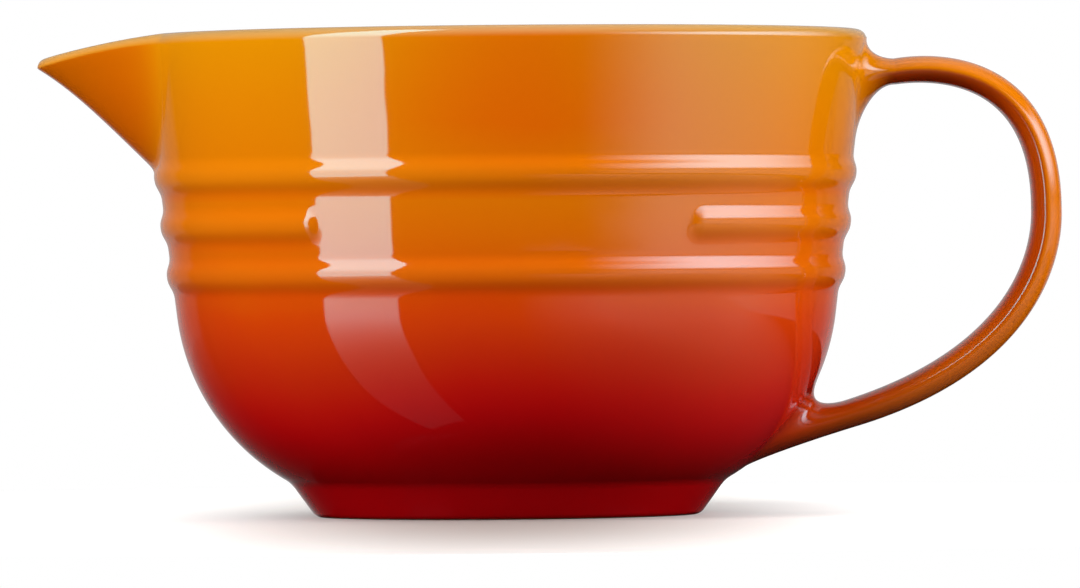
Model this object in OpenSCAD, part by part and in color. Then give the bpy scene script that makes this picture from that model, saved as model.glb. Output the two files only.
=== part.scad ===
// Batter bowl in glazed stoneware: a footed bowl with a pouring spout and a strap handle.
// The bowl's axis is Z and it stands on z = 0. The handle is towards +X, the spout pours towards -X,
// and the band without a middle rib faces -Y. Millimetres.

/* [Bowl] */
// Outside diameter at the rim
rim_d = 195; // [188:1:202]
// Height of the rim above the table
rim_h = 130; // [126:1:136]
// Lean of the straight wall, in degrees outwards from upright
wall_lean = 6.5; // [5:0.5:8]
// Thickness of the wall
wall_t = 5.5; // [4.5:0.25:6.5]
// Height at which the straight wall runs into the belly
belly_top_h = 54; // [52:1:56]
// Radius of the belly's outer curve
belly_r = 58.5; // [56:0.5:61]
// Thickness of the floor
floor_t = 6; // [5:0.5:8]
// Radius of the curve from the floor up into the belly, inside
floor_curve_r = 30; // [24:1:36]

/* [Ribs] */
// Height of the top rib's crest above the table
top_rib_h = 91.2; // [90:0.2:92]
// Spacing of the three ribs
rib_pitch = 13.2; // [12.6:0.2:14]
// Width of a rib
rib_w = 11.6; // [10:0.2:12]
// How far a rib stands proud of the wall
rib_out = 1.15; // [0.6:0.05:1.6]
// Angle of the bare stretch in the middle rib, in degrees
bare_angle = 64; // [40:2:90]
// Steepness of the middle rib's run-out at each end, in degrees to the wall
rib_end_slope = 12; // [8:1:20]

/* [Foot] */
// Height of the foot
foot_h = 9.2; // [8:0.2:10]
// Lean of the foot's side, in degrees outwards from upright
foot_lean = 34; // [28:1:38]
// Radius of the cove where the foot runs into the belly
foot_cove_r = 5; // [3:0.5:7]
// Radius of the foot's lower outside edge
foot_edge_r = 3; // [1.5:0.25:3.5]
// Width of the bare ring that the bowl stands on
foot_face_w = 5.5; // [4:0.5:8]
// Radius of the edge between the bare ring and the recess
recess_edge_r = 1.5; // [1:0.25:2.5]

/* [Spout] */
// Width of the spout where it leaves the rim
spout_w = 66; // [58:1:72]
// How far the tip stands out from the rim
spout_reach = 29; // [22:1:33]
// Height at which the keel leaves the wall
spout_root_h = 91.5; // [90:0.5:94]
// How far the tip's lip lies below the rim
spout_drop = 6.6; // [3:0.2:9]
// Thickness of the lip at the tip
spout_lip_t = 5.4; // [4.6:0.2:6]

/* [Handle] */
// Width of the strap
strap_w = 23; // [18:1:28]
// Thickness of the strap
strap_t = 8; // [6.5:0.25:9.5]
// Distance from the rim down to the strap's middle line at its upper end
strap_below_rim = 10; // [9:0.2:13]
// How far the strap's middle line stands out from the rim
strap_reach = 48.3; // [42:0.5:56]
// Height of the point that stands out furthest
strap_grip_h = 82.4; // [78:0.4:86]
// Height of the strap's middle line at its lower end
strap_tail_h = 27.2; // [26:0.2:30]
// Rise of the strap as it leaves the lower joint, in degrees
strap_tail_rise = 17.5; // [12:0.5:20]

/* [Handle joints] */
// Distance from the wall to the strap's upper end
upper_joint_len = 8.5; // [7:0.5:10]
// How far the upper joint runs down the wall below the strap
upper_joint_drop = 15; // [10:0.5:18]
// How far the upper joint rises above the strap
upper_joint_rise = 1.5; // [0.5:0.25:3]
// Distance from the belly to the strap's lower end
lower_joint_len = 13; // [11:0.5:15]
// How far the lower joint rises above the strap
lower_joint_rise = 4; // [2:0.5:6]
// How far either joint spreads past the strap on each side
joint_spread = 3.5; // [1:0.5:5]

/* [Hidden] */

// Glaze, from the rim down to the foot
TOP_GLAZE = "#DD8208";
MIDDLE_GLAZE = "#D26A08";
FOOT_GLAZE = "#8E1408";

// Overrun of every cut past the clay that it cuts
over = 1;
$fn = 180;

// Points along the straight and curved stretches of an outline
arc_steps = 10;
edge_steps = 6;
lip_steps = 6;
rib_steps = 8;

// The rounded lip, a full round of the wall's thickness
lip_r = wall_t / 2;
lip_x = rim_d / 2 - lip_r;
lip_z = rim_h - lip_r;

// The straight wall: a cone that is tangent to the lip's round on each face
lean_run = tan(wall_lean);
function wall_outer(z) = lip_x + lip_r / cos(wall_lean) - (lip_z - z) * lean_run;
function wall_inner(z) = lip_x - lip_r / cos(wall_lean) - (lip_z - z) * lean_run;

// The belly: an arc that is tangent to the outer wall at belly_top_h, and its parallel inside
belly_x = wall_outer(belly_top_h) - belly_r * cos(wall_lean);
belly_z = belly_top_h + belly_r * sin(wall_lean);
belly_inner_r = belly_r - wall_t;
function belly_outer(z) = belly_x + sqrt(pow(belly_r, 2) - pow(belly_z - z, 2));

// The floor: flat in the middle, then an arc that is tangent to it and to the belly's inner arc
floor_z = foot_h + floor_t;
curve_z = floor_z + floor_curve_r;
curve_x = belly_x + sqrt(pow(belly_inner_r - floor_curve_r, 2) - pow(belly_z - curve_z, 2));
curve_end = atan2(curve_z - belly_z, curve_x - belly_x);

// The ribs: raised cosine waves on the outer wall
middle_rib_h = top_rib_h - rib_pitch;
bottom_rib_h = top_rib_h - 2 * rib_pitch;
function rib_rise(d) = abs(d) < rib_w / 2 ? rib_out * (1 + cos(360 * d / rib_w)) / 2 : 0;
function rib_z(crest, k) = crest + rib_w * (k / rib_steps - 1 / 2);
function rib_line(crest) = [
    for (k = [0:rib_steps]) [wall_outer(rib_z(crest, k)) + rib_rise(rib_z(crest, k) - crest), rib_z(crest, k)]
];

// Radius of either face of the wall at a height in its straight part or its lip
lip_outer_z = lip_z - lip_r * sin(wall_lean);
lip_inner_z = lip_z + lip_r * sin(wall_lean);
function lip_half(z) = sqrt(max(0, pow(lip_r, 2) - pow(z - lip_z, 2)));
function outer_face(z) = z > lip_outer_z ? lip_x + lip_half(z) : wall_outer(z) + rib_rise(z - top_rib_h);
function inner_face(z) = z > lip_inner_z ? lip_x - lip_half(z) : wall_inner(z);

// Points on an arc, given by its centre, radius and end angles
function arc(x, z, r, from, to, steps, first = 0) = [
    for (k = [first:steps]) let (a = from + (to - from) * k / steps) [x + r * cos(a), z + r * sin(a)]
];
function reversed(list) = [for (k = [len(list) - 1:-1:0]) list[k]];

// Heights of the lip's points, which the spout shares
lip_rows = [for (k = [0:lip_steps]) lip_z + lip_r * sin(90 * k / lip_steps)];

// The foot's side: a cove that is tangent to the belly, a leaning band and a round lower edge
foot_top_x = belly_outer(foot_h);
belly_angle = atan2(foot_h - belly_z, foot_top_x - belly_x);
cove_x = foot_top_x + foot_cove_r * cos(belly_angle);
cove_z = foot_h + foot_cove_r * sin(belly_angle);
band_x = cove_x - foot_cove_r * cos(foot_lean);
band_z = cove_z + foot_cove_r * sin(foot_lean);
foot_edge_x = band_x - (foot_edge_r + (band_z - foot_edge_r) * sin(foot_lean)) / cos(foot_lean);
recess_x = foot_edge_x - foot_face_w;

// The spout: its rows follow the wall from the root up to the lip, and the notch has the same outline
notch_depth = rim_h - spout_root_h;
notch_base_angle = 14;
notch_rows = 9;
notch_last_angle = acos((rim_h - lip_outer_z) / notch_depth);
function notch_half(z) = spout_w / 2 * sqrt(1 - pow((rim_h - z) / notch_depth, 2));
spout_rows = concat(
    [
        for (k = [0:notch_rows])
            rim_h - notch_depth * cos(notch_base_angle + (notch_last_angle - notch_base_angle) * k / notch_rows)
    ],
    lip_rows
);
spout_base_z = spout_rows[0];

// Shape of the spout, as shares of its width and reach
nose_power = 1.7;
curl_share = 0.12;
curl_power = 5;
tip_share = (lip_z - spout_drop - spout_base_z) / (lip_z - spout_base_z);
channel_share = 1 - wall_t / (spout_w / 2);
channel_reach = spout_reach + wall_t / cos(wall_lean) - spout_lip_t;
spout_columns = 26;
function bell(t) = abs(t) < 1 ? pow(1 - t * t, nose_power) : 0;
function keel_share(v) = (1 - curl_share) * v + curl_share * pow(v, curl_power);
// How far a point lies across the lip, from 0 on the outer face to 1 on the inner face
function across_lip(z, side) = z > lip_z ? (1 - side * lip_half(z) / lip_r) / 2 : (1 - side) / 2;
// A point of the spout: t runs across it, z is the height of its row at the wall, side is 1 outside, -1 inside
function spout_point(t, z, side) =
    let (
        r = side > 0 ? outer_face(z) : inner_face(z),
        y = notch_half(z) * t,
        v = min(1, (z - spout_base_z) / (lip_z - spout_base_z)),
        w = across_lip(z, side),
        out = (1 - w) * spout_reach * bell(t) + w * channel_reach * bell(t / channel_share),
        tip_z = spout_base_z + (min(z, lip_z) - spout_base_z) * tip_share + max(0, z - lip_z)
    )
    [-sqrt(r * r - y * y) - keel_share(v) * out, y, z + (tip_z - z) * bell(t)];

// The handle's middle line in the XZ plane: two curves that meet at the point furthest out
strap_top_h = rim_h - strap_below_rim;
upper_end = [wall_outer(strap_top_h) + upper_joint_len, strap_top_h];
grip_point = [rim_d / 2 + strap_reach, strap_grip_h];
lower_end = [belly_outer(strap_tail_h) + lower_joint_len, strap_tail_h];
tail_way = [cos(strap_tail_rise), sin(strap_tail_rise)];
shoulder_share = 0.19;
crook_share = 1.13;
palm_share = 0.28;
tail_share = 0.9;
upper_run = grip_point.x - upper_end.x;
upper_fall = upper_end.y - grip_point.y;
lower_run = grip_point.x - lower_end.x;
lower_fall = grip_point.y - lower_end.y;
upper_curve = [
    upper_end,
    upper_end + [upper_run * shoulder_share, 0],
    grip_point + [0, upper_fall * crook_share],
    grip_point
];
lower_curve = [
    grip_point,
    grip_point - [0, lower_fall * palm_share],
    lower_end + tail_way * lower_run * tail_share,
    lower_end
];
strap_rings = 24;
strap_sides = 20;
strap_power = 2.5;
function curve_point(c, s) =
    pow(1 - s, 3) * c[0] + 3 * pow(1 - s, 2) * s * c[1] + 3 * (1 - s) * pow(s, 2) * c[2] + pow(s, 3) * c[3];
function curve_way(c, s) =
    let (d = pow(1 - s, 2) * (c[1] - c[0]) + 2 * (1 - s) * s * (c[2] - c[1]) + pow(s, 2) * (c[3] - c[2]))
    d / norm(d);

// The strap's section: a flat oval, with its width along Y and its thickness across the middle line
function rounded(c) = sign(c) * pow(abs(c), 2 / strap_power);
strap_section = [
    for (k = [0:strap_sides - 1]) let (a = 360 * k / strap_sides)
        [strap_w / 2 * rounded(cos(a)), strap_t / 2 * rounded(sin(a))]
];
// A section laid square to the way that the middle line runs at a point
function ring(p, way, section) = [for (q = section) [p.x - way.y * q.y, q.x, p.y + way.x * q.y]];

// Faces of a tube through rings of points, closed at both ends
function tube_faces(rings, sides) = concat(
    [[for (k = [0:sides - 1]) k]],
    [
        for (j = [0:rings - 2], k = [0:sides - 1]) let (n = (k + 1) % sides)
            each [
                [j * sides + k, (j + 1) * sides + k, (j + 1) * sides + n],
                [j * sides + k, (j + 1) * sides + n, j * sides + n]
            ]
    ],
    [[for (k = [sides - 1:-1:0]) (rings - 1) * sides + k]]
);
module tube(rings) {
    polyhedron(points = [for (r = rings) each r], faces = tube_faces(len(rings), len(rings[0])));
}

// A joint's section, spread on both sides, above and below by a share of its full growth
function spread_section(share, above, below) = [
    for (q = strap_section) [
        q.x * (1 + share * joint_spread / (strap_w / 2)),
        q.y * (1 + share * (q.y > 0 ? above : below) / (strap_t / 2))
    ]
];
joint_rings = 7;
joint_sweep = 80;

// The bowl's outside as one solid, up to the axis
module bowl_outside() {
    rotate_extrude() polygon(concat(
        [[0, foot_h]],
        arc(belly_x, belly_z, belly_r, belly_angle, -wall_lean, 2 * arc_steps),
        rib_line(bottom_rib_h),
        rib_line(top_rib_h),
        [[wall_outer(lip_outer_z), lip_outer_z]],
        [for (z = lip_rows) [outer_face(z), z]],
        [[0, rim_h]]
    ));
}

module bowl_inside() {
    rotate_extrude() polygon(concat(
        [[0, floor_z]],
        arc(curve_x, curve_z, floor_curve_r, -90, curve_end, arc_steps),
        arc(belly_x, belly_z, belly_inner_r, curve_end, -wall_lean, arc_steps, 1),
        [[wall_inner(lip_inner_z), lip_inner_z]],
        [for (z = lip_rows) if (z > lip_inner_z) [inner_face(z), z]],
        [[lip_x, rim_h + over], [0, rim_h + over]]
    ));
}

// The middle rib goes round the back and runs out at both sides of the bare band
module middle_rib() {
    crest_r = wall_outer(middle_rib_h) + rib_out;
    sink = rib_out / 20;
    base = [
        for (p = rib_line(middle_rib_h)) [p.x - sink, p.y]
    ];
    half_round = 180 - bare_angle / 2;
    difference() {
        rotate([0, 0, 90 - half_round]) rotate_extrude(angle = 2 * half_round) polygon(concat(
            base,
            [for (p = reversed(base)) [wall_outer(p.y) - wall_t / 2, p.y]]
        ));
        for (side = [-1, 1])
            rotate([0, 0, 90 + side * half_round])
                translate([wall_outer(middle_rib_h) - sink, 0, middle_rib_h]) rotate([0, wall_lean, 0])
                    rotate([0, 0, side * rib_end_slope])
                        translate([0, -crest_r / 2, -rib_w])
                            cube([wall_t, crest_r, 2 * rib_w]);
    }
}

module bowl_body() {
    color(MIDDLE_GLAZE) difference() {
        union() {
            bowl_outside();
            middle_rib();
        }
        bowl_inside();
        spout_notch();
    }
}

// The notch in the wall, open upwards, which the spout fills
module spout_notch() {
    side = concat(
        [for (z = spout_rows) [notch_half(z), z]],
        [[notch_half(rim_h), rim_h + over]]
    );
    outline = concat(side, [for (p = reversed(side)) [-p.x, p.y]]);
    translate([-rim_d / 2 - over, 0, 0]) rotate([90, 0, 90]) linear_extrude(rim_d / 2) polygon(outline);
}

module foot_ring() {
    color(FOOT_GLAZE) rotate_extrude() polygon(concat(
        arc(cove_x, cove_z, foot_cove_r, 180 + belly_angle, 180 - foot_lean, edge_steps),
        arc(foot_edge_x, foot_edge_r, foot_edge_r, -foot_lean, -90, edge_steps),
        arc(recess_x, recess_edge_r, recess_edge_r, -90, -180, edge_steps),
        [[recess_x - recess_edge_r, foot_h]]
    ));
}

module spout() {
    rows = len(spout_rows);
    section = 2 * rows - 1;
    last = spout_columns * section;
    points = [
        for (j = [0:spout_columns]) let (t = 2 * j / spout_columns - 1)
            each concat(
                [for (z = spout_rows) spout_point(t, z, 1)],
                [for (k = [rows - 2:-1:0]) spout_point(t, spout_rows[k], -1)]
            )
    ];
    skin = [
        for (j = [0:spout_columns - 1], k = [0:section - 1])
            let (a = j * section + k, b = j * section + (k + 1) % section)
            each [[a, a + section, b + section], [a, b + section, b]]
    ];
    ends = [
        for (k = [0:rows - 2]) let (m = section - 1 - k)
            each [
                [k, k + 1, m],
                if (k < rows - 2) [k + 1, m - 1, m],
                [last + k, last + m, last + k + 1],
                if (k < rows - 2) [last + k + 1, last + m, last + m - 1]
            ]
    ];
    color(TOP_GLAZE) polyhedron(points = points, faces = concat(skin, ends));
}

module handle() {
    color(MIDDLE_GLAZE) tube(concat(
        [
            for (k = [0:strap_rings]) let (s = k / strap_rings)
                ring(curve_point(upper_curve, s), curve_way(upper_curve, s), strap_section)
        ],
        [
            for (k = [1:strap_rings]) let (s = k / strap_rings)
                ring(curve_point(lower_curve, s), curve_way(lower_curve, s), strap_section)
        ]
    ));
}

// The clay between the bowl and one end of the strap, spread towards the bowl: end and way are the
// strap's last point and its way out of the bowl, reach is the clay's length and depth its overrun inside
module handle_joint(end, way, reach, depth, above, below) {
    difference() {
        tube([
            ring(end - way * (reach + depth), way, spread_section(1 - cos(joint_sweep), above, below)),
            for (k = [joint_rings:-1:0]) let (a = joint_sweep * k / joint_rings)
                ring(end - way * reach * sin(a), way, spread_section(1 - cos(a), above, below))
        ]);
        bowl_outside();
    }
}

module upper_handle_joint() {
    color(TOP_GLAZE)
        handle_joint(upper_end, [1, 0], upper_joint_len, wall_t, upper_joint_rise, upper_joint_drop);
}

module lower_handle_joint() {
    depth = (lower_end.x - foot_top_x) / tail_way.x - lower_joint_len;
    color(FOOT_GLAZE)
        handle_joint(lower_end, tail_way, lower_joint_len, depth, lower_joint_rise, 0);
}

bowl_body();
foot_ring();
spout();
handle();
upper_handle_joint();
lower_handle_joint();
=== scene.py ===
import math
import bmesh
import bpy
import numpy as np
from mathutils import Matrix


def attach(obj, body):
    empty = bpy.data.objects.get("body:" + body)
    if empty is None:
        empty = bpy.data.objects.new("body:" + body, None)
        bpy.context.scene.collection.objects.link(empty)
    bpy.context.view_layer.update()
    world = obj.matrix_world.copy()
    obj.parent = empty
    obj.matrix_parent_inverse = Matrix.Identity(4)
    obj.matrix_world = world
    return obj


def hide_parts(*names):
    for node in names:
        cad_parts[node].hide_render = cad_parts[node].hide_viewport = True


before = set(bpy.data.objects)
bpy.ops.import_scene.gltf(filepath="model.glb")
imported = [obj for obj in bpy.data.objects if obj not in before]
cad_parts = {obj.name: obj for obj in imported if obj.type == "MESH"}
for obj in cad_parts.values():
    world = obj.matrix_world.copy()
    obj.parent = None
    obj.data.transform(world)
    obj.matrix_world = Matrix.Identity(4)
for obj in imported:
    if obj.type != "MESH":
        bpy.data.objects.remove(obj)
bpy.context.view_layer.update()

# Batter bowl in glazed stoneware. Metres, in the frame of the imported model: the bowl's axis is Z, it stands
# on z = 0, the handle is towards +X, the spout pours towards -X and the bare band faces -Y.
MM = 0.001


# Sizes of the bowl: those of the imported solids, some of them set a little closer to the photograph
RIM_D = 195 * MM
RIM_H = 130 * MM
WALL_LEAN = math.radians(6.9)
WALL_T = 5.5 * MM
BELLY_TOP_H = 54 * MM
BELLY_R = 59.2 * MM
FLOOR_T = 6 * MM
FLOOR_CURVE_R = 30 * MM
RIB_PITCH = 13.2 * MM
TOP_RIB_H = 91.2 * MM
RIB_W = 11.6 * MM
RIB_OUT = 1.35 * MM
RIB_STEEPNESS = 0.4
RIB_END_ANGLE = math.radians(2)
BARE_ANGLE = math.radians(64)
FOOT_H = 9.2 * MM
FOOT_LEAN = math.radians(36)
FOOT_BLEND_H = 10.1 * MM
FOOT_COVE_R = 8 * MM
FOOT_EDGE_R = 3 * MM
FOOT_FACE_W = 5.5 * MM
RECESS_EDGE_R = 1.5 * MM
SPOUT_W = 66 * MM
SPOUT_REACH = 28.3 * MM
SPOUT_ROOT_H = 91.5 * MM
SPOUT_DROP = 5.9 * MM
SPOUT_LIP_T = 5.4 * MM
NOTCH_BASE_ANGLE = math.radians(14)
STRAP_W = 23 * MM
STRAP_T = 7 * MM
STRAP_GRIP_T = 8.2 * MM
STRAP_TAIL_T = 7.6 * MM
STRAP_TOP_H = RIM_H - 11.4 * MM
STRAP_REACH = 52.2 * MM
STRAP_GRIP_H = 81.6 * MM
STRAP_TAIL_H = 26.6 * MM
STRAP_TAIL_RISE = math.radians(16.6)
STRAP_TUCK = 5 * MM
UPPER_ROOT_LEN = 8.5 * MM
UPPER_ROOT_DROP = 15 * MM
UPPER_ROOT_RISE = 5.6 * MM
LOWER_ROOT_LEN = 14.2 * MM
LOWER_ROOT_RISE = 9 * MM
LOWER_ROOT_DROP = 1.5 * MM
ROOT_SPREAD = 7 * MM


# Lines of the bowl's outline
LEAN_RUN = math.tan(WALL_LEAN)
LIP_R = WALL_T / 2
LIP_X = RIM_D / 2 - LIP_R
LIP_Z = RIM_H - LIP_R


def wall_outer(z):
    return LIP_X + LIP_R / math.cos(WALL_LEAN) - (LIP_Z - z) * LEAN_RUN


def wall_inner(z):
    return LIP_X - LIP_R / math.cos(WALL_LEAN) - (LIP_Z - z) * LEAN_RUN


BELLY_X = wall_outer(BELLY_TOP_H) - BELLY_R * math.cos(WALL_LEAN)
BELLY_Z = BELLY_TOP_H + BELLY_R * math.sin(WALL_LEAN)
BELLY_INNER_R = BELLY_R - WALL_T
FLOOR_Z = FOOT_H + FLOOR_T
CURVE_Z = FLOOR_Z + FLOOR_CURVE_R
CURVE_X = BELLY_X + math.sqrt((BELLY_INNER_R - FLOOR_CURVE_R) ** 2 - (BELLY_Z - CURVE_Z) ** 2)
CURVE_END = math.atan2(CURVE_Z - BELLY_Z, CURVE_X - BELLY_X)


def belly_outer(z):
    return BELLY_X + np.sqrt(BELLY_R ** 2 - (BELLY_Z - z) ** 2)


def bowl_outer(z):
    """Radius of the bowl's outer face at a height, without ribs."""
    return np.where(z < BELLY_TOP_H, belly_outer(np.minimum(z, BELLY_TOP_H)), wall_outer(z))


FOOT_TOP_X = float(belly_outer(FOOT_H))
BELLY_ANGLE = math.atan2(FOOT_H - BELLY_Z, FOOT_TOP_X - BELLY_X)


def arc(x, z, r, start, end, steps):
    """Points (radius, height) on an arc, end points included."""
    a = np.linspace(start, end, steps + 1)
    return np.column_stack([x + r * np.cos(a), z + r * np.sin(a)])


def line(start, end, steps):
    """Points on a straight line, the first left out."""
    share = np.linspace(0, 1, steps + 1)[1:, None]
    return np.array(start) * (1 - share) + np.array(end) * share


# Helpers for meshes
SAME_POINT = 0.002 * MM


def new_object(name, points, faces):
    mesh = bpy.data.meshes.new(name)
    mesh.from_pydata([tuple(p) for p in points], [], faces)
    mesh.update()
    piece = bpy.data.objects.new(name, mesh)
    bpy.context.scene.collection.objects.link(piece)
    return piece


def store(mesh, name, values):
    """Writes one number per point as an attribute of the mesh."""
    values = np.asarray(values, dtype=np.float32)
    mesh.attributes.new(name, "FLOAT", "POINT").data.foreach_set("value", values)


def finish_piece(piece, glaze, nodes, crease=50):
    """Closes seams and poles, turns faces outwards, smooths them and ties the piece to the frame."""
    mesh = piece.data
    work = bmesh.new()
    work.from_mesh(mesh)
    bmesh.ops.remove_doubles(work, verts=work.verts, dist=SAME_POINT)
    bmesh.ops.recalc_face_normals(work, faces=work.faces)
    work.to_mesh(mesh)
    work.free()
    mesh.materials.clear()
    mesh.materials.append(glaze)
    mesh.shade_smooth()
    mesh.set_sharp_from_angle(angle=math.radians(crease))
    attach(piece, "root")
    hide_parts(*nodes)


# Helpers for node trees: the kinds of node used most, and settings for a mix of colours
MATH = "ShaderNodeMath"
VECTOR_MATH = "ShaderNodeVectorMath"
SEPARATE = "ShaderNodeSeparateXYZ"
MAP_RANGE = "ShaderNodeMapRange"
MIX = "ShaderNodeMix"
TEXTURE_PLACE = "ShaderNodeTexCoord"
STORE = "GeometryNodeStoreNamedAttribute"
COVER = {"data_type": "RGBA"}
TINT = {"data_type": "RGBA", "blend_type": "MULTIPLY"}
ON_POINTS = {"data_type": "FLOAT", "domain": "POINT"}


def add_node(tree, kind, inputs=(), **settings):
    """Adds a node with its settings. Its inputs, by place or by name, are values, sockets or nodes.

    A name means the first input in use that has it, and a node stands for its first output in use.
    """
    node = tree.nodes.new(kind)
    for name, value in settings.items():
        setattr(node, name, value)
    for key, value in inputs.items() if isinstance(inputs, dict) else enumerate(inputs):
        if isinstance(key, int):
            socket = node.inputs[key]
        else:
            socket = next(s for s in node.inputs if s.name == key and s.enabled)
        if isinstance(value, bpy.types.Node):
            value = next(s for s in value.outputs if s.enabled)
        if isinstance(value, bpy.types.NodeSocket):
            tree.links.new(value, socket)
        else:
            socket.default_value = value
    return node


def linear(code):
    """An sRGB hex colour as linear RGBA."""
    parts = [int(code[k:k + 2], 16) / 255 for k in (1, 3, 5)]
    return [c / 12.92 if c <= 0.04045 else ((c + 0.055) / 1.055) ** 2.4 for c in parts] + [1.0]


def empty_tree(owner):
    """The node tree of a material or a world, with nothing in it yet."""
    owner.use_nodes = True
    owner.node_tree.nodes.clear()
    return owner.node_tree


def shaping_tree(name, sizes):
    """A Geometry Nodes tree with named number inputs: the tree, its input node and its output node."""
    tree = bpy.data.node_groups.new(name, "GeometryNodeTree")
    tree.interface.new_socket("Geometry", in_out="INPUT", socket_type="NodeSocketGeometry")
    for size, value in sizes.items():
        kind = "NodeSocketInt" if isinstance(value, int) else "NodeSocketFloat"
        tree.interface.new_socket(size, in_out="INPUT", socket_type=kind)
    tree.interface.new_socket("Glaze", in_out="INPUT", socket_type="NodeSocketMaterial")
    tree.interface.new_socket("Geometry", in_out="OUTPUT", socket_type="NodeSocketGeometry")
    return tree, tree.nodes.new("NodeGroupInput"), tree.nodes.new("NodeGroupOutput")


def sheet_of_points(tree, columns, rows):
    """A sheet of points to wrap into a shape, with each point's share of the way across it and up it."""
    sheet = add_node(tree, "GeometryNodeMeshGrid",
                     {"Size X": 1.0, "Size Y": 1.0, "Vertices X": columns, "Vertices Y": rows})
    place = add_node(tree, "GeometryNodeInputPosition")
    parts = add_node(tree, SEPARATE, [place]).outputs
    across = add_node(tree, MATH, [parts["X"], 0.5], operation="ADD")
    upwards = add_node(tree, MATH, [parts["Y"], 0.5], operation="ADD")
    return sheet, across, upwards


def end_tree(tree, source, sink, geometry):
    """Ends a tree in Realize Instances and Set Material."""
    real = add_node(tree, "GeometryNodeRealizeInstances", [geometry])
    glazed = add_node(tree, "GeometryNodeSetMaterial",
                      {"Geometry": real, "Material": source.outputs["Glaze"]})
    tree.links.new(glazed.outputs[0], sink.inputs[0])


def shaped(start, tree, sizes, glaze):
    """Runs a tree on an object and returns a plain mesh object in its place."""
    modifier = start.modifiers.new(tree.name, "NODES")
    modifier.node_group = tree
    for item in tree.interface.items_tree:
        if item.item_type == "SOCKET" and item.in_out == "INPUT" and item.name != "Geometry":
            modifier[item.identifier] = glaze if item.name == "Glaze" else sizes[item.name]
    start.update_tag()
    bpy.context.view_layer.update()
    seen = start.evaluated_get(bpy.context.evaluated_depsgraph_get())
    mesh = bpy.data.meshes.new_from_object(seen)
    name = start.name
    start.modifiers.clear()
    bpy.data.objects.remove(start)
    piece = bpy.data.objects.new(name, mesh)
    mesh.name = name
    bpy.context.scene.collection.objects.link(piece)
    return piece


# Glazes. The bowl is stoneware, glazed all over and fired: a glass skin about 0.3 mm thick, amber at the rim
# and iron red towards the foot, pale where it draws thin on an edge and dark where it pools in a hollow. Part
# of that pale is a painted reflection and part of that dark is painted shade.
GLAZE_IOR = 1.52
GLAZE_ROUGHNESS = 0.045
# The handle's reflections are softer
STRAP_ROUGHNESS = 0.11
ROOT_ROUGHNESS = 0.08

# Where the glaze ran, its colours lie up to a few millimetres higher or lower
RUN_SCALE = 1 / (34 * MM)
RUN_DRIFT = 7 * MM

# Slow ripple of the clay under the glaze, and the glaze's own fine orange peel, drawn a little coarser than
# life so that it shows
RIPPLE_SCALE = 1 / (15 * MM)
WALL_RIPPLE = 0.06 * MM
STRAP_RIPPLE = 0.005 * MM
ROOT_RIPPLE = 0.02 * MM
PEEL_SCALE = 1 / (1.6 * MM)
PEEL_DEPTH = 0.0007 * MM

# Painted shade down the front: there the red comes up higher on the belly
FRONT_WAY = (0.06, -0.998, 0)
FRONT_EDGE_COSINE = 0.766
FRONT_POWER = 2.5
FRONT_SHADE_DROP = 6 * MM
DROP_FROM_H, DROP_FULL_H = 76 * MM, 40 * MM


def front_shade_share(tree, place):
    """1 down the front of the bowl and 0 at its sides and back."""
    flat = add_node(tree, VECTOR_MATH, [place, (1, 1, 0)], operation="MULTIPLY")
    flat = add_node(tree, VECTOR_MATH, [flat], operation="NORMALIZE")
    facing = add_node(tree, VECTOR_MATH, [flat, FRONT_WAY], operation="DOT_PRODUCT")
    share = add_node(tree, MAP_RANGE, [facing, FRONT_EDGE_COSINE, 1.0])
    return add_node(tree, MATH, [share, FRONT_POWER], operation="POWER")


def glaze_bands(tree, share, bands, blend="LINEAR"):
    """Glaze colours that follow each other as a share goes from 0 to 1, as (share, hex) in a list."""
    ramp = add_node(tree, "ShaderNodeValToRGB", [share])
    ramp.color_ramp.interpolation = blend
    spots = ramp.color_ramp.elements
    while len(spots) < len(bands):
        spots.new(0.5)
    for spot, (at, code) in zip(spots, bands):
        spot.position = at
    for spot, (at, code) in zip(spots, bands):
        spot.color = linear(code)
    return ramp


def glaze_by_height(tree, height, stops):
    """Glaze colours from the foot up, as (millimetres above the table, hex) in a list."""
    low, high = stops[0][0] * MM, stops[-1][0] * MM
    share = add_node(tree, MAP_RANGE, [height, low, high])
    bands = [((at * MM - low) / (high - low), code) for at, code in stops]
    return glaze_bands(tree, share, bands, "B_SPLINE")


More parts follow.
